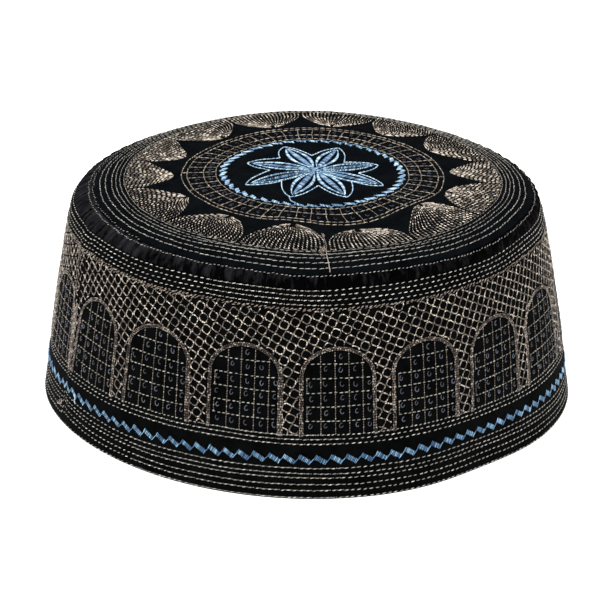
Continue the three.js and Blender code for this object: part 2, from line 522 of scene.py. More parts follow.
crownForm = {"outerStep": 0.74, "innerStep": 6.0, "segments": 300}
crownProfile = clothFace(runEnd, crownStart, crownForm["innerStep"], -capForm["crownThickness"])
crownProfile += clothFace(crownStart, runEnd, crownForm["outerStep"])
clothPiece("crownTipCloth", "crownCloth", "crown_tip", crownProfile, crownForm["segments"])
print("cloth ready")


# One stitch: a small rounded grain lying along x, fuller towards its ends than a ball
def grainShape(sides, rings):
    grain = bmesh.new()
    bmesh.ops.create_uvsphere(grain, u_segments=sides, v_segments=rings, radius=0.5)
    bmesh.ops.rotate(grain, verts=grain.verts, cent=(0, 0, 0), matrix=Matrix.Rotation(pi / 2, 3, "Y"))
    bmesh.ops.triangulate(grain, faces=grain.faces)
    points = np.array([v.co[:] for v in grain.verts])
    triangles = np.array([[v.index for v in f.verts] for f in grain.faces])
    grain.free()
    girth = np.hypot(points[:, 1], points[:, 2])
    fuller = np.where(girth > 1e-4, (girth / 0.5) ** -0.45, 0)
    points[:, 1] *= fuller
    points[:, 2] *= fuller
    return points, triangles


grain = grainShape(5, 4)
fineGrain = grainShape(4, 3)
plyPitch = 0.6  # mm of thread for one turn of its ply


def joinedPiece(name, slotName, materialName, points, triangles, shade, twist):
    mesh = bpy.data.meshes.new(name)
    mesh.vertices.add(len(points))
    mesh.vertices.foreach_set("co", (points * mm).astype(np.float32).ravel())
    mesh.loops.add(triangles.size)
    mesh.loops.foreach_set("vertex_index", triangles.astype(np.int32).ravel())
    mesh.polygons.add(len(triangles))
    mesh.polygons.foreach_set("loop_start", np.arange(0, triangles.size, 3, dtype=np.int32))
    mesh.update(calc_edges=True)
    for attributeName, values in (("threadShade", shade), ("threadTwist", twist)):
        attribute = mesh.attributes.new(attributeName, "FLOAT", "POINT")
        attribute.data.foreach_set("value", values.astype(np.float32))
    meshPiece(name, materialName, mesh)
    print(name, len(triangles), "triangles")


# Gathers stitches as spans between two spots, and swept threads along several spots
class Sewing:
    # The end setting is painted light on every stitch: below zero it darkens the ends as painted shade, above
    # zero it lightens them as a painted highlight
    def __init__(self, shape=grain, paintedStitchLight=-0.32):
        self.shape, self.paintedStitchLight = shape, paintedStitchLight
        self.spans = []
        self.threads = []

    def span(self, startTurn, startRun, endTurn, endRun, width, height, lift=0.12, shade=0.5, vary=0.2):
        values = np.broadcast_arrays(*(np.atleast_1d(np.asarray(v, float)) for v in (
            startTurn, startRun, endTurn, endRun, width, height, lift, shade)))
        rows = np.stack([v.ravel() for v in values], 1)
        rows[:, 7] += rng.uniform(-vary, vary, len(rows))
        self.spans.append(rows)

    def flatSpan(self, startX, startY, endX, endY, **rest):
        self.span(*flatSpot(startX, startY), *flatSpot(endX, endY), **rest)

    # turns and runs hold the points of one thread, or a row of points for each thread
    def thread(self, turns, runs, width, lift, vary, shade=0.5):
        turns, runs = np.atleast_2d(turns), np.atleast_2d(runs)
        self.threads.append((turns, runs, width, lift, shade + rng.uniform(-vary, vary, len(turns))))

    def spanMesh(self):
        rows = np.concatenate(self.spans)
        startTurn, startRun, endTurn, endRun, width, height, lift, shade = rows.T
        near = shorterWay(endTurn - startTurn)
        start, end = capSpot(startTurn, startRun, lift), capSpot(endTurn, endRun, lift)
        middleTurn = startTurn + near / 2
        along = unit(end - start)
        out, across = squared(capNormal(middleTurn, (startRun + endRun) / 2), along)
        length = np.linalg.norm(end - start, axis=1) + width * 0.4
        shape, triangles = self.shape
        x = shape[None, :, 0] * length[:, None]
        y = shape[None, :, 1] * width[:, None]
        z = (shape[None, :, 2] - 0.9 * shape[None, :, 0] ** 2) * height[:, None]
        middle = (start + end) / 2
        points = middle[:, None] + along[:, None] * x[..., None]
        points = points + across[:, None] * y[..., None] + out[:, None] * z[..., None]
        twist = x / plyPitch + (np.arctan2(shape[:, 1], shape[:, 2]) / (2 * pi))[None]
        faces = triangles[None] + (np.arange(len(rows)) * len(shape))[:, None, None]
        # Painted light on each stitch: ends darkened as painted shade when the end setting is below zero and
        # lightened as a painted highlight when above, undersides darkened as painted shade
        paintedStitchLight = self.paintedStitchLight * np.abs(2 * shape[:, 0]) ** 3 - 0.2 * (shape[:, 2] < 0)
        return points.reshape(-1, 3), faces.reshape(-1, 3), (shade[:, None] + paintedStitchLight).ravel(), twist.ravel()

    def threadMesh(self):
        parts, sides, endShare = [], 5, 0.6
        for turns, runs, width, lift, shade in self.threads:
            count, steps = turns.shape
            spots = capSpot(turns, runs, lift)
            out, across = squared(capNormal(turns, runs), unit(np.gradient(spots, axis=1)))
            angle = np.arange(sides) * 2 * pi / sides + pi / 2
            girth = np.full(steps, width / 2)
            girth[[0, -1]] *= endShare
            ring = across[:, :, None] * np.cos(angle)[:, None] + out[:, :, None] * np.sin(angle)[:, None]
            points = spots[:, :, None] + ring * girth[None, :, None, None]
            this = np.arange(sides)
            following = (this + 1) % sides
            quads = np.stack([this, following, following + sides, this + sides], 1)
            walls = (quads[None] + (np.arange(steps - 1) * sides)[:, None, None]).reshape(-1, 4)
            walls = np.concatenate([walls[:, [0, 1, 2]], walls[:, [0, 2, 3]]])
            cap = np.stack([np.zeros(sides - 2, int), this[1:-1], this[2:]], 1)
            faces = np.concatenate([walls, cap[:, ::-1], cap + (steps - 1) * sides])
            faces = (faces[None] + (np.arange(count) * steps * sides)[:, None, None]).reshape(-1, 3)
            distance = np.cumsum(np.linalg.norm(np.diff(spots, axis=1, prepend=spots[:, :1]), axis=-1), 1)
            twist = distance[:, :, None] / plyPitch + (angle / (2 * pi))[None, None]
            parts.append((points.reshape(-1, 3), faces, np.repeat(shade, steps * sides), twist.ravel()))
        return joinParts(parts)

    def sew(self, name, slotName, materialName):
        parts = []
        if self.spans:
            parts.append(self.spanMesh())
        if self.threads:
            parts.append(self.threadMesh())
        joinedPiece(name, slotName, materialName, *joinParts(parts))


def joinParts(parts):
    offset, points, faces = 0, [], []
    for part in parts:
        points.append(part[0])
        faces.append(part[1] + offset)
        offset += len(part[0])
    shade = np.concatenate([part[2] for part in parts])
    twist = np.concatenate([part[3] for part in parts])
    return np.concatenate(points), np.concatenate(faces), shade, twist


# A row of running stitch right round the cap, or from one turn to another
def runningRow(
    sewing, run, pitch, dash, width, tilt, shade, stray=0.07, fromTurn=-pi, toTurn=pi, dots=None,
):
    radius = float(np.interp(np.mean(run), outlineRun, outlineRadius))
    count = max(int(round((toTurn - fromTurn) * radius / pitch)), 1)
    place = np.arange(count) + 0.5 + rng.uniform(-0.09, 0.09, count)
    middle = fromTurn + place * (toTurn - fromTurn) / count
    # Crown rows have one run for the side and one for the front
    if np.ndim(run):
        run = run[0] + (run[1] - run[0]) * hump(turnPast(middle, 0), 0.55, 4)
    half = dash * rng.uniform(0.86, 1.12, count) / 2 / radius
    rise = tilt * rng.uniform(0.3, 1.5, count)
    run = run + rng.uniform(-stray, stray, count)
    sewing.span(
        middle - half, run - rise, middle + half, run + rise,
        width=width * rng.uniform(0.85, 1.15, count), height=width * 0.85, lift=0.14, shade=shade,
    )
    if dots:
        between = (middle + (toTurn - fromTurn) / count / 2)[(middle > dots["from"]) & (middle < dots["to"])]
        half = dots["length"] / 2 / radius
        sewing.span(
            between - half, run[0], between + half, run[0],
            width=dots["width"], height=dots["width"], lift=0.06, shade=dots["shade"])


rowForm = {"pitch": 2.24, "topPitch": 2.36, "footPitch": 1.78, "dash": 1.4, "width": 0.32, "tilt": 0.11}
# Bits of the under thread that peep out between the stitches at the front left
rowDots = {"from": radians(-42), "to": radians(8), "length": 0.5, "width": 0.27, "shade": 0.4}
topDots = {"from": radians(-24), "to": radians(5), "length": 0.5, "width": 0.27, "shade": 0.45}

hemStitches, footStitches = Sewing(), Sewing()
for height in stitchRows["hem"]:
    runningRow(
        hemStitches, sideRun(height), rowForm["pitch"], rowForm["dash"], rowForm["width"],
        tilt=rowForm["tilt"], shade=0.58, dots=rowDots)
hemStitches.sew("hemStitchRows", "side_cloth", "paleThread")

for height in stitchRows["archFoot"] + stitchRows["sideTop"]:
    pitch = rowForm["pitch"] if height < stitchRows["archFoot"][-1] else rowForm["topPitch"]
    pitch = rowForm["footPitch"] if height == stitchRows["archFoot"][-1] else pitch
    runningRow(
        footStitches, sideRun(height), pitch, pitch * 0.56, rowForm["width"],
        tilt=rowForm["tilt"], shade=0.64, dots=rowDots if height < stitchRows["archFoot"][-1] else topDots)
footStitches.sew("sideStitchRows", "side_cloth", "paleThread")

# Crown rows, the lighter ones outside, then the seam row and a second one over part of it
crownStitches = Sewing()
for radii, shade in zip(stitchRows["crown"], (0.53, 0.53, 0.53, 0.43, 0.43, 0.43)):
    runningRow(
        crownStitches, crownRun(radii), pitch=2.25, dash=2.0, width=0.33, tilt=0.09, shade=shade, stray=0.13)
runningRow(
    crownStitches, crownRun(stitchRows["seam"]), pitch=1.5, dash=0.85, width=0.28,
    tilt=0.14, shade=0.48, stray=0.22)
runningRow(
    crownStitches, crownRun(stitchRows["secondSeam"]), pitch=1.9, dash=0.8, width=0.26,
    tilt=0.2, shade=0.45, stray=0.3, fromTurn=radians(-150), toTurn=radians(-48))
crownStitches.sew("crownStitchRows", "crown_cloth", "paleThread")


# Slanting satin blocks in a chain, each joined to the next by a single thread
borderForm = {
    "count": 109, "middle": 15.05, "stitches": 9, "reference": 93.6, "width": 0.31, "shade": 0.45,
    "top": ((-1.35, 1.7), (2.05, -0.35)), "bottom": ((-2.25, 0.2), (1.35, -1.95)),
}


def satinBlocks(sewing, placeAt, form):
    count, stitches, pitch, width = form["count"], form["stitches"], form["pitch"], form["width"]
    share = np.linspace(0, 1, stitches)[None]
    turns = np.arange(count)[:, None] * 2 * pi / count
    (topX0, topY0), (topX1, topY1) = form["top"]
    (lowX0, lowY0), (lowX1, lowY1) = form["bottom"]
    jitter = rng.uniform(-0.1, 0.1, (4, count, stitches))
    sway = rng.uniform(-0.12, 0.12, (2, count, 1))
    topX = topX0 + (topX1 - topX0) * share + jitter[0] + sway[0]
    topY = topY0 + (topY1 - topY0) * share + jitter[1] + sway[1]
    lowX = lowX0 + (lowX1 - lowX0) * share + jitter[2] + sway[0]
    lowY = lowY0 + (lowY1 - lowY0) * share + jitter[3] + sway[1]
    start, end = placeAt(turns, topX, topY), placeAt(turns, lowX, lowY)
    sewing.span(*start, *end, width=width, height=width * 0.9, lift=0.2, shade=form["shade"], vary=0.4)
    turns = turns[:, 0]
    last, following = placeAt(turns, lowX1, lowY1), placeAt(turns, pitch + lowX0, lowY0)
    sewing.span(*last, *following, width=width * 0.7, height=width * 0.7, lift=0.16, shade=0.55)


def onBorder(turn, x, y):
    return turn + x / borderForm["reference"], sideRun(borderForm["middle"]) + y + 0 * turn


borderForm["pitch"] = 2 * pi * borderForm["reference"] / borderForm["count"]
# Its stitch ends are lightened: painted highlight
blueBorder = Sewing(paintedStitchLight=0.3)
satinBlocks(blueBorder, onBorder, borderForm)
blueBorder.sew("blueBorder", "side_cloth", "blueThread")

# Arches round the side: their middles as turns, the front ones read one by one
archForm = {
    "frontTurns": [-75.6, -56.3, -34.7, -13.5, 7.2, 27.6, 48.2, 68.9],
    "count": 17,
    "halfWidth": 12.1,
    "foot": 23.1,
    "spring": 44.5,
    "apex": 54.3,
    "border": 1.3,
    "reference": 91.5,
    "strands": [0.12, 0.6, 1.1],
    "extraStrand": 1.6,
    "extraChance": 0.55,
    "seamStrands": [1.6, 2.1, 2.6, 3.1],
    "stitch": 0.92,
    "gap": 0.08,
}
archRise = archForm["apex"] - archForm["spring"]
archTurns = list(archForm["frontTurns"])
backArches = archForm["count"] - len(archTurns)
backGap = (360 + archTurns[0] - archTurns[-1]) / (backArches + 1)
archTurns += [archTurns[-1] + backGap * (i + 1) for i in range(backArches)]
archTurns = np.radians(archTurns)

# Arches by the seam lean: mm that the foot and the top move sideways, then the same for the left leg alone
archLeans = np.zeros((archForm["count"], 4))
archLeans[:4] = [(1.3, 4.0, 0.0, 0.0), (0.0, 2.0, 0.0, 3.0), (0.0, 0.0, -2.5, 0.1), (0.0, 0.5, 0.0, 0.0)]


def archShift(x, height, lean):
    rise = np.clip((height - archForm["foot"]) / (archForm["apex"] - archForm["foot"]), 0, 1)
    left = np.clip(0.5 - x / archForm["halfWidth"] / 2, 0, 1)
    whole = lean[..., 0] + (lean[..., 1] - lean[..., 0]) * rise
    return whole + left * (lean[..., 2] + (lean[..., 3] - lean[..., 2]) * rise)


# Points of an arch grown outwards by some mm: x across and y as height
def archPath(grow, pitch):
    half = archForm["halfWidth"] + grow
    rise = archRise + grow
    angle = np.linspace(0, pi, 200)
    x = np.concatenate([[half], half * np.cos(angle), [-half]])
    y = np.concatenate([[archForm["foot"]], archForm["spring"] + rise * np.sin(angle), [archForm["foot"]]])
    length = np.append(0, np.cumsum(np.hypot(np.diff(x), np.diff(y))))
    places = np.linspace(0, length[-1], int(length[-1] / pitch))
    return np.interp(places, length, x), np.interp(places, length, y)


def onSide(arch, x, height):
    across = x + archShift(x, height, archLeans[arch])
    return archTurns[arch] + across / archForm["reference"], sideRun(height)


archBorders = Sewing(fineGrain)
for arch in range(archForm["count"]):
    strands = [(grow, -1, 1) for grow in archForm["strands"]]
    sides = [side for side in (-1, 1) if rng.random() < archForm["extraChance"]]
    strands += [(archForm["extraStrand"], side, side) for side in sides]
    # The arch beside the seam is packed with more strands on its right
    strands += [(grow, 1, 1) for grow in archForm["seamStrands"] if arch == 0]
    for grow, fromSide, toSide in strands:
        pathX, pathY = archPath(grow, archForm["stitch"])
        pathX = pathX + rng.uniform(-0.1, 0.1, len(pathX))
        pathY = pathY + rng.uniform(-0.06, 0.06, len(pathY))
        share = np.linspace(0, 1, len(pathX) - 1)
        kept = np.ones(len(share), bool)
        if fromSide == toSide:
            kept = (share < 0.3) if toSide > 0 else (share > 0.7)
        tilt = 0.1 * (-1) ** np.arange(len(share))
        gapX, gapY = np.diff(pathX) * archForm["gap"], np.diff(pathY) * archForm["gap"]
        start = onSide(arch, (pathX[:-1] + gapX + tilt)[kept], (pathY[:-1] + gapY)[kept])
        end = onSide(arch, (pathX[1:] - gapX - tilt)[kept], (pathY[1:] - gapY)[kept])
        archBorders.span(*start, *end, width=0.32, height=0.4, lift=0.2, shade=0.48, vary=0.55)
archBorders.sew("archBorders", "side_cloth", "brownThread")

# Inside each arch: dashed level rows, fine upright lines and a small dark curl in each cell
gridForm = {
    "levels": [49.5, 44.1, 39.15, 34.0, 29.0],
    "uprights": [-6.0, -1.1, 3.8, 8.7],
    "returns": [(44.1, 39.15), (34.0, 29.0)],
    "returnPlace": -10.9,
    "stitch": 0.93,
    "cells": [-9.6, -4.3, 1.1, 6.2, 11.0],
    "cellLevels": [27.1, 32.1, 37.2, 42.1, 47.5, 52.3],
    "upperCells": {47.5: [-4.3, 1.1, 6.2], 52.3: [1.1]},
}


def archHalfWidth(height):
    over = np.clip((height - archForm["spring"]) / archRise, 0, 1)
    return archForm["halfWidth"] * np.sqrt(1 - over * over)


def archTop(x):
    return archForm["spring"] + archRise * sqrt(1 - (x / archForm["halfWidth"]) ** 2)


# A small open loop, a little different every time
def curlPath(middleX, middleY):
    first = radians(rng.uniform(60, 120))
    angle = np.linspace(first, first + radians(rng.uniform(230, 300)), 7)
    x, y = rng.uniform(0.5, 0.7) * np.cos(angle), rng.uniform(0.8, 1.0) * np.sin(angle)
    lean = rng.uniform(-0.5, 0.3)
    x, y = x * cos(lean) - y * sin(lean), x * sin(lean) + y * cos(lean)
    return middleX + rng.uniform(-0.35, 0.35) + x, middleY + rng.uniform(-0.25, 0.25) + y


archRows, archUprights, archCurls = Sewing(), Sewing(fineGrain), Sewing()
for arch in range(archForm["count"]):
    for level in gridForm["levels"]:
        half = archHalfWidth(level) - 0.7
        fromTurn, toTurn = (onSide(arch, x, level)[0] for x in (-half, half))
        runningRow(
            archRows, sideRun(level) + rng.uniform(-0.15, 0.15), pitch=1.83, dash=1.2, width=0.34,
            tilt=0.04, shade=0.48, fromTurn=fromTurn, toTurn=toTurn)
    uprights = [(x, archForm["foot"] + 0.6, archTop(x) - 0.4) for x in gridForm["uprights"]]
    uprights += [(gridForm["returnPlace"], low, high) for high, low in gridForm["returns"]]
    for x, low, high in uprights:
        count = int((high - low) / gridForm["stitch"])
        edges = np.linspace(low, high, count + 1)
        slant = 0.05 * (-1) ** np.arange(count)
        x = x + rng.uniform(-0.15, 0.15)
        archUprights.span(
            *onSide(arch, x - slant, edges[:-1] + 0.1), *onSide(arch, x + slant, edges[1:] - 0.1),
            width=0.32, height=0.3, lift=0.12, shade=0.46 + 3 * slant,
        )
    for cellY in gridForm["cellLevels"]:
        for cellX in gridForm["upperCells"].get(cellY, gridForm["cells"]):
            archCurls.thread(*onSide(arch, *curlPath(cellX, cellY)), width=0.3, lift=0.14, vary=0.4)
archRows.sew("archLevelRows", "side_cloth", "paleThread")
archUprights.sew("archUprights", "side_cloth", "taupeThread")
archCurls.sew("archCurls", "side_cloth", "darkThread")

# Lattice round the arches: rounded rings in every other cell of a leaning grid, touching at their corners
latticeForm = {
    "across": 2.56, "fall": 1.3, "top": 68.6, "bottom": 23.6, "reference": 90.5,
    "cut": 0.18, "bulge": 0.04, "margin": 0.35, "stray": 0.11,
    "cornerWidth": 0.46, "cornerShade": 0.64, "sideWidth": 0.44, "sideShades": (0.5, 0.42), "lighter": 0.1,
}


def outsideArches(turn, height, margin):
    x = shorterWay(turn[..., None] - archTurns) * archForm["reference"]
    x = np.min(np.abs(x - archShift(x, height[..., None], archLeans)), -1)
    half = archForm["halfWidth"] + archForm["border"] + margin
    rise = archRise + archForm["border"] + margin
    over = np.clip((height - archForm["spring"]) / rise, 0, None)
    return (x > half * np.sqrt(np.clip(1 - over * over, 0, 1))) | (over >= 1)


lattice = Sewing(fineGrain)
stepX, stepY = latticeForm["across"], latticeForm["fall"]
girth = 2 * pi * latticeForm["reference"]
firstI, secondI = np.meshgrid(np.arange(-40, 230), np.arange(-20, 140))
nodeX = (firstI * stepX + secondI * stepY).ravel()
nodeY = (-firstI * stepY + secondI * stepX).ravel() + 40
ringed = ((firstI + secondI).ravel() % 2 == 0) & (nodeX >= 0) & (nodeX < girth)
ringed &= (nodeY > latticeForm["bottom"] - 2) & (nodeY < latticeForm["top"])
nodeX, nodeY = nodeX[ringed], nodeY[ringed]
lapTurn = radians(capForm["lapTurn"])


# One stitch of every ring, from one spot of the unit cell to another
def ringStitch(fromCell, toCell, width, shade):
    ends = []
    for first, second in (fromCell, toCell):
        stray = rng.uniform(-latticeForm["stray"], latticeForm["stray"], (2, len(nodeX)))
        x = nodeX + stepX * first + stepY * second + stray[0]
        y = nodeY - stepY * first + stepX * second + stray[1]
        ends.append((lapTurn + x / latticeForm["reference"], y))
    (startTurn, startY), (endTurn, endY) = ends
    middleTurn, middleY = (startTurn + endTurn) / 2, (startY + endY) / 2
    kept = outsideArches(middleTurn, middleY, latticeForm["margin"])
    kept &= (middleY < latticeForm["top"]) & (middleY > latticeForm["bottom"])
    past = seamPast(middleTurn, sideRun(middleY))
    kept &= np.abs(past) * latticeForm["reference"] > seamForm["gap"]
    # Lattice stitches in the fold left of the seam are darkened: painted shade
    fold = hump(past - seamForm["foldTurn"], seamForm["foldWidth"])
    lattice.span(
        startTurn[kept], sideRun(startY[kept]), endTurn[kept], sideRun(endY[kept]),
        width=width * rng.uniform(0.8, 1.2, len(nodeX))[kept], height=width * 0.85, lift=0.16,
        shade=shade - seamForm["foldShade"] * fold[kept], vary=0.45,
    )


low, high = latticeForm["cut"], 1 - latticeForm["cut"]
out = latticeForm["bulge"] / hypot(stepX, stepY)
ringCorners = [
    (low, -out), (high, -out), (1 + out, low), (1 + out, high),
    (high, 1 + out), (low, 1 + out), (-out, high), (-out, low),
]
for corner, spot in enumerate(ringCorners):
    following = ringCorners[(corner + 1) % len(ringCorners)]
    if corner % 2 == 1:
        ringStitch(spot, following, latticeForm["cornerWidth"], latticeForm["cornerShade"])
    else:
        middle = ((spot[0] + following[0]) / 2, (spot[1] + following[1]) / 2)
        shade = latticeForm["sideShades"][corner % 4 // 2]
        ringStitch(spot, middle, latticeForm["sideWidth"], shade)
        ringStitch(middle, following, latticeForm["sideWidth"], shade + latticeForm["lighter"])
lattice.sew("lattice", "side_cloth", "taupeThread")
latticeEdge = Sewing(fineGrain)
for height, pitch, shade in ((69.3, 1.5, 0.6), (68.8, 1.9, 0.45)):
    runningRow(latticeEdge, sideRun(height), pitch, dash=1.2, width=0.36, tilt=0.25, shade=shade, stray=0.25)
runningRow(
    latticeEdge, sideRun(68.3), pitch=1.3, dash=1.3, width=0.42, tilt=0.35, shade=0.5, stray=0.35,
    fromTurn=radians(-80), toTurn=radians(-25),
)
latticeEdge.sew("latticeEdge", "side_cloth", "taupeThread")
print("side embroidery ready")


def polarSpot(turn, radius):
    return turn, crownRun(radius)


# Fans round the crown: chains of fine stitches from a notched head to a wide base
fanForm = {
    "lines": 20, "base": 68.6, "notch": 2.6, "notchWidth": 0.26, "bend": 63.6, "stitch": 1.55, "width": 0.35,
    "twist": 0.24, "gap": 0.13, "drift": 0.31, "fill": 0.985,
}
# Fans: turn of the gap before it, turn of its head, head radius, and how straight its sides are (0 to 1)
fanRows = [
    (-175.8, -163.1, 50.4, 0.2),
    (-151.9, -139.7, 50.4, 0.4),
    (-127.0, -110.6, 50.0, 0.3),
    (-103.6, -86.3, 50.0, 0.9),
    (-78.0, -61.0, 50.0, 0.7),
    (-48.3, -34.0, 50.0, 0.3),
    (-21.6, -7.0, 49.8, 0.1),
    (4.7, 17.6, 51.6, 0.0),
    (31.4, 50.0, 49.0, 0.3),
    (59.3, 72.7, 49.6, 0.2),
    (87.7, 96.5, 49.8, 0.7),
    (108.0, 123.8, 50.8, 0.5),
    (137.3, 149.0, 50.0, 0.5),
    (159.8, 172.5, 50.4, 0.4),
]
fans = Sewing(fineGrain)
for fanIndex, (fromTurn, headTurn, head, straight) in enumerate(fanRows):
    toTurn = fanRows[(fanIndex + 1) % len(fanRows)][0]
    toTurn += 360 if toTurn < fromTurn else 0
    middle = radians((fromTurn + toTurn) / 2)
    halfFan = radians((toTurn - fromTurn) / 2) * fanForm["fill"]
    headShift = radians(headTurn) - middle
    bendLength = fanForm["bend"] - head
    phase = rng.uniform(0, 6)
    for lineIndex in range(fanForm["lines"]):
        side = (lineIndex + 0.5) / fanForm["lines"] * 2 - 1
        notch = fanForm["notch"] * hump(side, fanForm["notchWidth"], 4)
        top = head + notch + 1.1 * side * side + rng.uniform(0, 0.6)
        base = fanForm["base"] + rng.uniform(-0.3, 0.3)
        radius = np.arange(top + fanForm["drift"] * (lineIndex % 5), base, fanForm["stitch"])
        radius = np.concatenate([[top], radius[1:], [base]])
        bend = np.clip((fanForm["bend"] - radius) / bendLength, 0, 1)
        spread = (1 - straight) * (1 - bend ** 1.8) ** 0.62 + straight * (1 - bend ** 1.25) ** 0.9
        turn = middle + side * halfFan * np.maximum(spread, 0.08) + headShift * bend
        twist = fanForm["twist"] / radius
        gleam = 0.68 + 0.16 * np.sin(radius[1:] * 0.9 + lineIndex * 0.7 + phase)
        gap = (radius[1:] - radius[:-1]) * fanForm["gap"]
        start = polarSpot(turn[:-1] - twist[:-1], radius[:-1] + gap)
        end = polarSpot(turn[1:] + twist[1:], radius[1:] - gap)
        width = fanForm["width"] * rng.uniform(0.8, 1.2, len(gap))
        fans.span(*start, *end, width=width, height=0.4, lift=0.14, shade=gleam, vary=0.4)
        if lineIndex % 2 == 0:
            nextTurn = middle + (side + 2 / fanForm["lines"]) * halfFan
            fans.span(
                *polarSpot(turn[-1], base), *polarSpot(nextTurn, base),
                width=fanForm["width"], height=0.36, lift=0.12, shade=0.5,
            )
fans.sew("crownFans", "crown_cloth", "taupeThread")

# Ring net on the crown: circles, spokes and dark curls
netForm = {
    "circles": [(48.0, 2.25), (46.0, 2.25), (39.9, 2.3), (35.4, 2.2)],
    "spokes": 48, "curlRadii": [42.9, 37.6], "inner": 35.2, "outer": 46.2,
}
ringNet, netCurls = Sewing(), Sewing()
for radius, pitch in netForm["circles"]:
    runningRow(ringNet, crownRun(radius), pitch, dash=pitch * 0.92, width=0.38, tilt=0.06, shade=0.62)
for spoke in range(netForm["spokes"]):
    turn = (spoke + rng.uniform(-0.08, 0.08)) * 2 * pi / netForm["spokes"]
    radius = np.linspace(netForm["inner"], netForm["outer"] if spoke % 3 else netForm["circles"][0][0], 7)
    bow = turn + 0.2 * np.sin((radius - 35) * 0.5 + spoke) / radius
    start, end = polarSpot(bow[:-1], radius[:-1]), polarSpot(bow[1:], radius[1:])
    ringNet.span(*start, *end, width=0.34, height=0.32, shade=0.56)
    for radius in netForm["curlRadii"]:
        middle = turn + pi / netForm["spokes"]
        curlX, curlY = curlPath(0, 0)
        turns, runs = middle + curlX / radius, crownRun(radius - curlY)
        netCurls.thread(turns, runs, width=0.26, lift=0.1, shade=0.3, vary=0.3)
ringNet.sew("ringNet", "crown_cloth", "taupeThread")
netCurls.sew("ringNetCurls", "crown_cloth", "darkThread")

# Blue ring of slanting blocks
ringForm = {
    "radius": 32.7, "count": 46, "stitches": 8, "width": 0.4, "shade": 0.55,
    "top": ((-1.7, 1.5), (1.3, 0.3)), "bottom": ((-1.3, -0.5), (1.7, -1.6)),
}
ringForm["pitch"] = 2 * pi * ringForm["radius"] / ringForm["count"]


def onRing(turn, x, y):
    return turn + x / ringForm["radius"], crownRun(ringForm["radius"] - y + 0 * turn)


# Its stitch ends are lightened: painted highlight
blueRing = Sewing(paintedStitchLight=0.1)
satinBlocks(blueRing, onRing, ringForm)
blueRing.sew("blueRing", "crown_cloth", "lightBlueThread")

# Flower: eight petals of satin leaves inside a stitched outline. Angles turn from +X towards the back
flowerForm = {
    "centre": (1.0, 1.2),
    "tips": [
        (18, 24.3), (71, 25.6), (115, 27.2), (163, 26.2),
        (211, 29.2), (252, 28.0), (293.5, 28.2), (331, 28.1),
    ],
    "notches": [
        (41, 13.8), (95, 15.4), (136, 18.0), (181, 16.6),
        (224, 16.8), (274, 15.4), (321, 16.8), (353, 15.9),
    ],
    "leafWidth": 1.2,
    "stripWidth": 0.62,
    "stripAway": 3.05,
    "pitch": 0.5,
    "outlineStitch": 1.5,
    "outlineBulge": 1.3,
}
flowerX, flowerY = flowerForm["centre"]
petals, outline = Sewing(), Sewing()


def satinLeaf(sewing, angle, start, end, away, halfWidth, lean, shade):
    length = end - start
    count = int(length / flowerForm["pitch"])
    share = (np.arange(count) + 0.5) / count
    body = np.sin(pi * share ** 0.9) ** 0.75
    along = start + length * share
    middle = away * np.sin(pi * np.clip(share * 0.92 + 0.04, 0, 1)) ** 0.9
    left, right = middle - halfWidth * body, middle + halfWidth * body
    dx, dy = cos(angle), sin(angle)
    jitter = rng.uniform(-0.1, 0.1, (2, count))
    a0, a1 = along - lean + jitter[0], along + lean + jitter[1]
    sewing.flatSpan(
        flowerX + dx * a0 - dy * left, flowerY + dy * a0 + dx * left,
        flowerX + dx * a1 - dy * right, flowerY + dy * a1 + dx * right,
        width=0.38, height=0.45, lift=0.28, shade=shade, vary=0.45,
    )


for angle, tip in flowerForm["tips"]:
    angle = radians(angle)
    satinLeaf(petals, angle, 0.6, tip * 0.93, 0, flowerForm["leafWidth"], 0.5, 0.36)
    for away in (-flowerForm["stripAway"], flowerForm["stripAway"]):
        satinLeaf(petals, angle, 3.0, tip * 0.9, away, flowerForm["stripWidth"], 0.35, 0.7)
scatter = rng.uniform(-3.2, 3.2, (2, 60))
scatterEnd = scatter + rng.uniform(-1.3, 1.3, (2, 60))
petals.flatSpan(
    flowerX + scatter[0], flowerY + scatter[1], flowerX + scatterEnd[0], flowerY + scatterEnd[1],
    width=0.45, height=0.4, lift=0.45, shade=0.45, vary=0.4)
petals.sew("flowerPetals", "crown_cloth", "lightBlueThread")

corners = []
for (tipAngle, tip), (notchAngle, notch) in zip(flowerForm["tips"], flowerForm["notches"]):
    corners.append((radians(tipAngle), tip))
    corners.append((radians(notchAngle), notch))
for index in range(len(corners)):
    (angle0, radius0), (angle1, radius1) = corners[index], corners[(index + 1) % len(corners)]
    angle1 += 2 * pi * (angle1 < angle0)
    start = np.array([radius0 * cos(angle0), radius0 * sin(angle0)])
    end = np.array([radius1 * cos(angle1), radius1 * sin(angle1)])
    chord = end - start
    normal = np.array([-chord[1], chord[0]]) / np.linalg.norm(chord)
    if normal @ (start + end) < 0:
        normal = -normal
    count = max(int(np.linalg.norm(chord) / flowerForm["outlineStitch"]), 3)
    share = np.linspace(0, 1, count + 1)
    skew = share if index % 2 == 0 else 1 - share
    bulge = flowerForm["outlineBulge"] * np.sin(pi * skew ** 0.8)
    path = start + chord * share[:, None] + normal * bulge[:, None] + (flowerX, flowerY)
    outline.flatSpan(*path[:-1].T, *path[1:].T, width=0.46, height=0.42, lift=0.16, shade=0.85)
outline.sew("flowerOutline", "crown_cloth", "lightBlueThread")

# Loose ends and knots that the sewing has left. Turns in degrees, heights and radii in mm
beigeEnds, blueEnds = Sewing(fineGrain), Sewing(fineGrain)


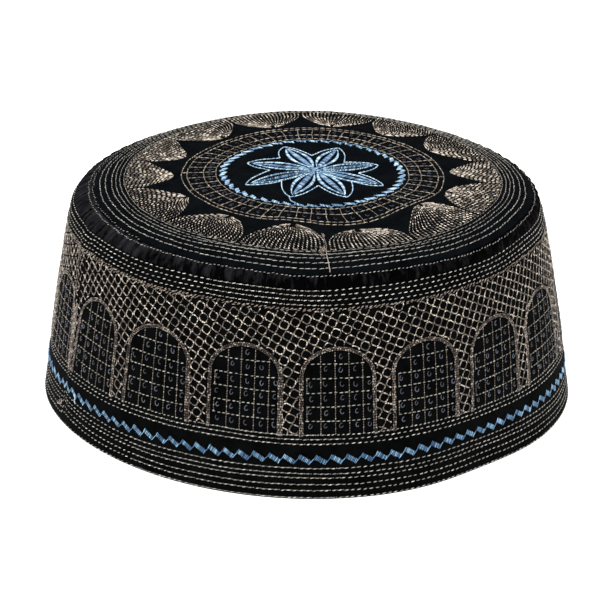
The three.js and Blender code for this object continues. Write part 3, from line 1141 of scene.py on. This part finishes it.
def looseThread(sewing, turns, runs, width, lift, shade):
    places = np.linspace(0, 1, len(turns))
    along = np.linspace(0, 1, 14)
    bend = rng.uniform(-0.12, 0.12, (2, len(along)))
    turn = np.radians(np.interp(along, places, turns)) + bend[0] / capForm["baseRadius"]
    run = np.interp(along, places, runs) + bend[1]
    sewing.thread(turn, run, width=width, lift=lift, shade=shade, vary=0.0)


def tangle(sewing, turn, run, wide, high, count, shade):
    start = rng.normal(0, 0.35, (2, count))
    end = start + rng.uniform(-0.7, 0.7, (2, count))
    turn, reach = radians(turn), wide / capForm["baseRadius"]
    sewing.span(
        turn + start[0] * reach, run + start[1] * high, turn + end[0] * reach, run + end[1] * high,
        width=0.26, height=0.26, lift=rng.uniform(0.3, 0.75, count), shade=shade, vary=0.3)


looseThread(beigeEnds, [3.4, 4.1, 4.4, 4.2], crownRun([56.5, 61.0, 66.0, 70.0]), 0.3, 0.5, 0.5)
looseThread(beigeEnds, [4.1, 4.2, 4.45, 4.6], crownRun([70.0, 73.5, 77.0, 79.9]), 0.25, 0.55, 0.75)
tangle(beigeEnds, 3.9, crownRun(58.0), 1.1, 1.8, 20, 0.72)
tangle(beigeEnds, 2.9, crownRun(69.0), 2.1, 3.0, 44, 0.55)
tangle(beigeEnds, -70.7, sideRun(6.35), 2.4, 1.2, 26, 0.6)
looseThread(beigeEnds, [-72.2, -70.4, -69.0], sideRun([5.6, 6.5, 7.2]), 0.4, 0.6, 0.7)
beigeEnds.sew("looseThreadEnds", "crown_cloth", "brownThread")
looseThread(blueEnds, [-61.9, -61.5, -61.8, -61.4], sideRun([15.2, 14.0, 12.8, 11.7]), 0.46, 0.5, 0.8)
looseThread(blueEnds, [-17.5, -14.5, -10.5], crownRun([27.0, 30.0, 32.0]), 0.42, 0.3, 0.6)
blueEnds.sew("looseBlueEnds", "side_cloth", "lightBlueThread")
print("crown embroidery ready")

# Camera, fitted to the photograph's outline. Lengths in mm
cameraForm = {
    "elevation": 22.329, "distance": 1322.47, "target": (-0.72, 2.28, 33.65),
    "focal": 3593.57, "roll": 0.9524, "frame": 612, "sensor": 36.0,
}
cameraData = bpy.data.cameras.new("capCamera")
cameraData.sensor_width = cameraForm["sensor"]
cameraData.lens = cameraForm["focal"] * cameraForm["sensor"] / cameraForm["frame"]
cameraData.clip_end = 20
camera = addObject("capCamera", cameraData)
elevation, roll = radians(cameraForm["elevation"]), radians(cameraForm["roll"])
back = Vector((0, -cos(elevation), sin(elevation)))
target = Vector(cameraForm["target"])
turned = Matrix.Rotation(pi / 2 - elevation, 4, "X") @ Matrix.Rotation(roll, 4, "Z")
camera.matrix_world = Matrix.Translation((target + back * cameraForm["distance"]) * mm) @ turned
bpy.context.scene.camera = camera

# Floor and studio light
floorMesh = bpy.data.meshes.new("studioFloor")
floorBuild = bmesh.new()
bmesh.ops.create_grid(floorBuild, x_segments=2, y_segments=2, size=8)
floorBuild.to_mesh(floorMesh)
floorBuild.free()
floor = addObject("studioFloor", floorMesh)
floorSurface = Surface(
    "paleFloor", Base_Color=(0.93, 0.93, 0.93, 1), Roughness=0.9, Specular_IOR_Level=0.1,
    Emission_Color=(1, 1, 1, 1), Emission_Strength=0.5)
floorMesh.materials.append(floorSurface.material)

lightForm = [
    {"name": "topSoftbox", "place": (0.0, -0.25, 1.5), "size": 0.9, "watts": 30},
    {"name": "frontSoftbox", "place": (-0.5, -1.6, 1.1), "size": 0.7, "watts": 20},
    {"name": "rightSoftbox", "place": (1.5, -0.7, 0.8), "size": 0.7, "watts": 12},
    {"name": "leftSoftbox", "place": (-1.6, -0.3, 0.8), "size": 0.7, "watts": 12},
]
for form in lightForm:
    lamp = bpy.data.lights.new(form["name"], "AREA")
    lamp.shape, lamp.size, lamp.energy = "SQUARE", form["size"], form["watts"]
    holder = addObject(form["name"], lamp)
    place = Vector(form["place"])
    aim = (Vector((0, 0, 0.05)) - place).to_track_quat("-Z", "Y").to_matrix().to_4x4()
    holder.matrix_world = Matrix.Translation(place) @ aim
world = bpy.data.worlds.new("studioWorld")
world.use_nodes = True
world.node_tree.nodes["Background"].inputs["Color"].default_value = (1, 1, 1, 1)
world.node_tree.nodes["Background"].inputs["Strength"].default_value = 0.3
bpy.context.scene.world = world
bpy.context.scene.view_settings.view_transform = "Standard"
print("camera and light ready")
